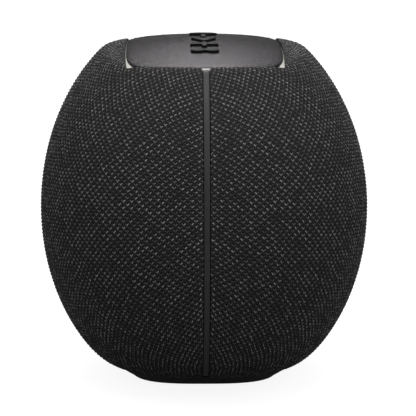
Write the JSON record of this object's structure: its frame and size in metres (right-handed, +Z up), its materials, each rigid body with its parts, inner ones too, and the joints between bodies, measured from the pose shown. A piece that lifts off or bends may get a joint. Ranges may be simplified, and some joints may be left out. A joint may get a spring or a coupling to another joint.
{
  "type": "portable speaker",
  "caption": "Egg-shaped portable wireless speaker in two knitted covers, with a domed metal key panel on top and a rubber-soled foot.",
  "frame": {"origin": "middle of the foot pad underside, on the surface that the speaker stands on", "axes": "+X along the long axis to the right as seen from the front, -Y to the front, +Z up"},
  "size_m": [0.2108, 0.1494, 0.1543],
  "materials": {
    "knit_fabric": "charcoal melange knit",
    "frame_plastic": "fine moulded texture",
    "strip_plastic": "satin",
    "panel_metal": "fine metallic satin",
    "trim_plastic": "satin",
    "black_rubber": "matte",
    "cone_paper": "pressed fibre",
    "zinc_steel": "zinc plated",
    "ferrite": "sintered",
    "coil_copper": "wound wire",
    "board_green": "solder mask",
    "fin_alloy": "extruded",
    "cell_wrap": "shrink sleeve",
    "lead_red": "insulation"
  },
  "bodies": {
    "housing": {"battery_cell_1": "cell_wrap", "battery_cell_2": "cell_wrap", "battery_cradle": "frame_plastic", "battery_lead": "lead_red", "charge_socket": "zinc_steel", "foot_base": "frame_plastic", "foot_pad": "black_rubber", "foot_screw_1": "zinc_steel", "foot_screw_2": "zinc_steel", "foot_screw_3": "zinc_steel", "foot_screw_4": "zinc_steel", "front_cover": "knit_fabric", "front_grille": "frame_plastic", "front_shell": "frame_plastic", "heat_sink": "fin_alloy", "key_board": "board_green", "key_carrier": "black_rubber", "key_lead": "black_rubber", "key_mat": "black_rubber", "main_board": "board_green", "panel_trim": "trim_plastic", "radiator_frame": "frame_plastic", "radiator_surround": "black_rubber", "rear_cover": "knit_fabric", "rear_grille": "frame_plastic", "rear_shell": "frame_plastic", "seam_strip_left": "strip_plastic", "seam_strip_right": "strip_plastic", "shell_gasket": "black_rubber", "shell_screw_1": "zinc_steel", "shell_screw_2": "zinc_steel", "shell_screw_3": "zinc_steel", "shell_screw_4": "zinc_steel", "socket_board": "board_green", "socket_lead": "black_rubber", "socket_plate": "frame_plastic", "top_panel": "panel_metal", "tweeter_body_left": "frame_plastic", "tweeter_body_right": "frame_plastic", "tweeter_lead_left": "black_rubber", "tweeter_lead_right": "black_rubber", "woofer_basket": "zinc_steel", "woofer_lead": "lead_red", "woofer_magnet": "ferrite", "woofer_spider": "cone_paper", "woofer_surround": "black_rubber"},
    "power_key": {"power_key": "black_rubber"},
    "volume_down_key": {"volume_down_key": "black_rubber"},
    "play_key": {"play_key": "black_rubber"},
    "volume_up_key": {"volume_up_key": "black_rubber"},
    "pairing_key": {"pairing_key": "black_rubber"},
    "woofer_motion": {"woofer_cone": "cone_paper", "woofer_dust_cap": "black_rubber", "woofer_voice_coil": "coil_copper"},
    "radiator_motion": {"radiator_plate": "cone_paper"},
    "tweeter_left_motion": {"tweeter_dome_left": "cone_paper"},
    "tweeter_right_motion": {"tweeter_dome_right": "cone_paper"}
  },
  "joints": [
    {"name": "power_key_press", "type": "slide", "parent": "housing", "child": "power_key", "axis": [0, 0, -1], "range_m": [0, 0.0007], "stiffness_N_per_m": 400, "springref_m": -0.0008},
    {"name": "volume_down_key_press", "type": "slide", "parent": "housing", "child": "volume_down_key", "axis": [0, 0, -1], "range_m": [0, 0.0007], "stiffness_N_per_m": 400, "springref_m": -0.0008},
    {"name": "play_key_press", "type": "slide", "parent": "housing", "child": "play_key", "axis": [0, 0, -1], "range_m": [0, 0.0007], "stiffness_N_per_m": 400, "springref_m": -0.0008},
    {"name": "volume_up_key_press", "type": "slide", "parent": "housing", "child": "volume_up_key", "axis": [0, 0, -1], "range_m": [0, 0.0007], "stiffness_N_per_m": 400, "springref_m": -0.0008},
    {"name": "pairing_key_press", "type": "slide", "parent": "housing", "child": "pairing_key", "axis": [0, 0, -1], "range_m": [0, 0.0007], "stiffness_N_per_m": 400, "springref_m": -0.0008},
    {"name": "woofer_travel", "type": "slide", "parent": "housing", "child": "woofer_motion", "axis": [0, 1, 0], "range_m": [-0.0025, 0.0025], "stiffness_N_per_m": 1400},
    {"name": "radiator_travel", "type": "slide", "parent": "housing", "child": "radiator_motion", "axis": [0, 1, 0], "range_m": [-0.004, 0.004], "stiffness_N_per_m": 700},
    {"name": "tweeter_left_travel", "type": "slide", "parent": "housing", "child": "tweeter_left_motion", "axis": [0, 1, 0], "range_m": [-0.0003, 0.0003], "stiffness_N_per_m": 400},
    {"name": "tweeter_right_travel", "type": "slide", "parent": "housing", "child": "tweeter_right_motion", "axis": [0, 1, 0], "range_m": [-0.0003, 0.0003], "stiffness_N_per_m": 400}
  ]
}
